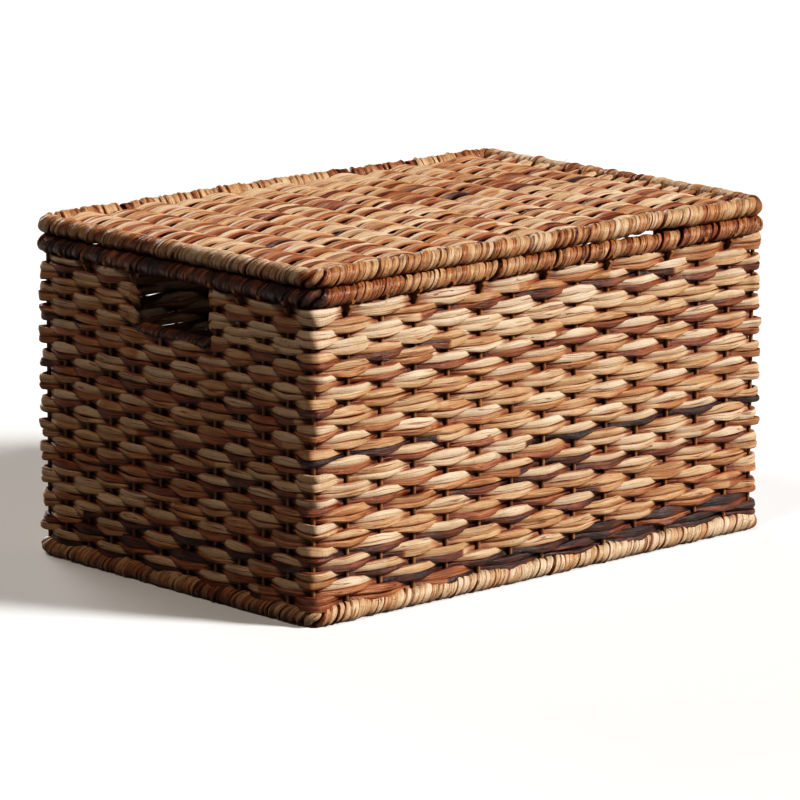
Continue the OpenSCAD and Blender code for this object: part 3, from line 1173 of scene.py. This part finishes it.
def lashing_line(x, turns, r):
    """One strand, wound in turns around the lid's rod and the trunk's rod together.

    Each turn goes up the outside, over the lid's rod, down the inside and under the trunk's rod.
    """
    span = LID_Z - TOP_Z
    half_turn = math.pi * r
    lap = 2 * (span + half_turn)
    travel = np.linspace(0, turns * lap, int(turns * 44) + 1)
    step = travel % lap
    over = np.clip(step - span, 0, half_turn)
    under = np.clip(step - 2 * span - half_turn, 0, half_turn)
    angle = (over + under) / r
    height = np.clip(step, 0, span) - np.clip(step - span - half_turn, 0, span)
    out = np.stack([np.zeros(len(step)), np.cos(angle), np.sin(angle)], 1)
    spread = LASHING_W - 2 * LASHING_R
    co = out * r + (0, RING_Y, TOP_Z)
    co[:, 0] = x - spread / 2 + spread * travel / travel[-1]
    co[:, 2] += height
    tone = np.interp(travel, [0, travel[-1]], [0.34, 0.24])
    return laid_line(co, out, LASHING_R, LASHING_R * 0.92, travel, tone)


def make_lashings():
    strand = {"Material": WOUND_STRAND, "Sides": 12, "Folds": 3.0, "Fold Depth": 0.12, "Twist": 420.0}
    radius = ROD_R + LASHING_GAP + LASHING_R
    for side, sign in (("left", -1), ("right", 1)):
        lines = [lashing_line(sign * LASHING_X, LASHING_TURNS, radius)]
        lashing = f"{side}_hinge_lashing"
        grow(f"{side}_lashing_strand", lines, LAID, strand, "trunk", "dark_winding", lashing)


# ---- stake tips and loose fibres


# A stake's end: heights of its points from the top rim's middle, how far out those below the rim
# stand, and how far the others stand off the rim, in stake radii. PRESSED draws all of it in.
TIP_RISE = (-0.020, -0.016, -0.012, -0.0095)
TIP_OUT_BELOW = (0, 0.0015, 0.0045)
TIP_OFF_RIM = (0, 0, 0, 0.3, 0.3, 0.1, -1.6)
PRESSED = 0.93


def make_stake_tips():
    """Each stake's end is bent out over the lower half of the trunk's wound rim."""
    lines = []
    for number, travel in enumerate(STAKES):
        under_hand = LEFT_BACK < number < LEFT_FRONT or RIGHT_FRONT < number < RIGHT_BACK
        if number in POSTS or under_hand:
            continue
        place, out = loop_points([travel])
        # Up the outside of the rim, and in under a turn of its winding.
        last = rng.uniform(-0.0062, -0.0035)
        rise = TOP_Z + np.array([*TIP_RISE, last - 0.0012, last, last + 0.0008])
        round_rim = np.sqrt(np.clip(RIM_R ** 2 - (rise - TOP_Z) ** 2, 0, None))
        depth = round_rim + STAKE_R * np.array(TIP_OFF_RIM)
        depth[:len(TIP_OUT_BELOW)] = TIP_OUT_BELOW
        depth *= PRESSED
        co = place + out * depth[:, None]
        co[:, 2] = rise
        sideways = np.array([-out[0][1], out[0][0]]) * rng.normal(0, 0.0004)
        co[:, :2] += sideways * np.linspace(0, 1, len(rise))[:, None] ** 2
        lines.append(laid_line(co, out, STAKE_R * 1.1, STAKE_R, co[:, 2], 0.5))
    grow("stake_tips", lines, LAID, stick_inputs(8, 0.03), "trunk", "rattan_stake")


def loose_fibre(start, heading, length, radius):
    steps = np.linspace(0, 1, 7)
    droop = rng.uniform(-0.3, 0.1)
    co = start + np.outer(steps * length, heading)
    co[:, 2] += droop * length * steps ** 2
    curl = np.sin(steps * math.pi * rng.uniform(0.6, 1.6)) * length * 0.12
    co += np.outer(curl, rng.normal(0, 1, 3))
    thin = radius * (1 - 0.8 * steps)
    return laid_line(co, (0.3, 0.2, 0.93), thin, thin, steps * length, rng.choice([0.35, 0.55, 0.8]))


def make_fibres():
    """Frayed fibres that stand off the windings."""
    plain = {"Material": WOUND_STRAND, "Sides": 5, "Folds": 1.0, "Fold Depth": 0.0, "Twist": 0.0}
    for name, body, z, count in (
        ("lid_rim_fibres", "lid", LID_Z, 130),
        ("top_rim_fibres", "trunk", TOP_Z, 70),
        ("base_rim_fibres", "trunk", BASE_Z + 0.002, 70),
    ):
        lines = []
        for travel in rng.uniform(0, LOOP_LENGTH, count):
            place, out = loop_points([travel])
            # None stay on the lid's hinged side, where it rolls over the trunk's rim.
            if body == "lid" and place[0][1] > RUN_Y:
                continue
            tilt = rng.uniform(0.1, 1.2)
            normal = out[0] * math.cos(tilt) + np.array([0, 0, math.sin(tilt)])
            start = place[0] + np.array([0, 0, z]) + normal * RIM_R * 0.85
            along = np.array([-out[0][1], out[0][0], 0])
            heading = normal * rng.uniform(0.3, 0.8) + along * rng.uniform(-1, 1)
            heading /= np.linalg.norm(heading)
            length, radius = rng.uniform(0.004, 0.009), rng.uniform(0.00016, 0.0003)
            lines.append(loose_fibre(start, heading, length, radius))
        grow(name, lines, LAID, plain, body, "lid_winding")


# ---- the frame's own pieces


def paint(node, material):
    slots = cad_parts[node].data.materials
    if len(slots):
        for i in range(len(slots)):
            slots[i] = material
    else:
        slots.append(material)


def make_frame_finishes():
    for node in ("base_ring", "top_ring", "lid_ring"):
        paint(node, ROD)
    for node in (
        "corner_posts", "front_stakes", "back_stakes", "left_stakes", "right_stakes",
        "base_ribs", "left_handhold_bar", "right_handhold_bar",
    ):
        paint(node, RATTAN)


# ---- floor, light and camera


FLOOR_HALF = 30.0
FLOOR_Z = -0.0003
ROOM_COLOUR = (1.0, 0.88, 0.76, 1)
ROOM_STRENGTH = 0.052
# Key light over the front's right, a weaker one behind, and one high on the left: each one's
# direction, strength, softness in degrees and colour.
SUNS = [
    ("key", (0.48, -0.72, 0.54), 4.85, 13, (1.0, 0.985, 0.965)),
    ("back_fill", (0.30, 0.91, 0.27), 1.5, 30, (1.0, 0.98, 0.97)),
    ("left_fill", (-0.50, -0.10, 0.86), 0.85, 12, (1.0, 0.93, 0.84)),
]
# The display's curve, as light in and light out.
PRINT_CURVE = ((0.03, 0.011), (0.08, 0.044), (0.20, 0.155), (0.45, 0.445), (0.75, 0.78))
# Where the camera stands, its turn, dip and tilt in degrees, and its lens in millimetres.
CAMERA_PLACE = (-3.2915, -3.4992, 1.178)
CAMERA_TURN = (43.205, 12.21, 0.362)
CAMERA_LENS = 229.13


def make_stage():
    mesh = bpy.data.meshes.new("studio_floor")
    corners = [(x * FLOOR_HALF, y * FLOOR_HALF, 0) for x, y in ((-1, -1), (1, -1), (1, 1), (-1, 1))]
    mesh.from_pydata(corners, [], [(0, 1, 2, 3)])
    mesh.materials.append(floor_material("pale_floor"))
    floor = bpy.data.objects.new("studio_floor", mesh)
    floor.location.z = FLOOR_Z
    bpy.context.collection.objects.link(floor)
    # The floor throws no light back up, so that the shaded end stays deep in tone.
    floor.visible_diffuse = False

    world = bpy.data.worlds.new("studio")
    world.use_nodes = True
    background = world.node_tree.nodes["Background"]
    background.inputs["Color"].default_value = ROOM_COLOUR
    background.inputs["Strength"].default_value = ROOM_STRENGTH
    bpy.context.scene.world = world
    for sun in SUNS:
        add_sun(*sun)


def add_sun(name, towards, strength, softness, colour):
    light = bpy.data.lights.new(name, "SUN")
    light.energy = strength
    light.angle = math.radians(softness)
    light.color = colour
    lamp = bpy.data.objects.new(name, light)
    lamp.rotation_euler = Vector(towards).to_track_quat("Z", "Y").to_euler()
    bpy.context.collection.objects.link(lamp)


def set_print_contrast(view):
    """A plain display with the contrast of a print: deep shadows and clean highlights."""
    view.view_transform = "Standard"
    view.use_curve_mapping = True
    for point in PRINT_CURVE:
        view.curve_mapping.curves[3].points.new(*point)
    view.curve_mapping.update()


def make_camera():
    """Three quarters from the left front, a little above, as far off as a long lens needs."""
    yaw, pitch, roll = (math.radians(angle) for angle in CAMERA_TURN)
    level = math.cos(pitch)
    ahead = Vector((level * math.sin(yaw), level * math.cos(yaw), -math.sin(pitch)))
    right = Vector((math.cos(yaw), -math.sin(yaw), 0))
    up = right.cross(ahead)
    turned_right = right * math.cos(roll) + up * math.sin(roll)
    turned_up = up * math.cos(roll) - right * math.sin(roll)
    data = bpy.data.cameras.new("camera")
    data.sensor_width = 36
    data.lens = CAMERA_LENS
    data.clip_end = 100
    camera = bpy.data.objects.new("camera", data)
    basis = Matrix((turned_right, turned_up, -ahead)).transposed().to_4x4()
    camera.matrix_world = Matrix.Translation(CAMERA_PLACE) @ basis
    bpy.context.collection.objects.link(camera)
    bpy.context.scene.camera = camera
    set_print_contrast(bpy.context.scene.view_settings)


make_camera()
make_stage()
make_walls()
make_panels()
make_windings()
make_lashings()
make_stake_tips()
make_fibres()
make_frame_finishes()
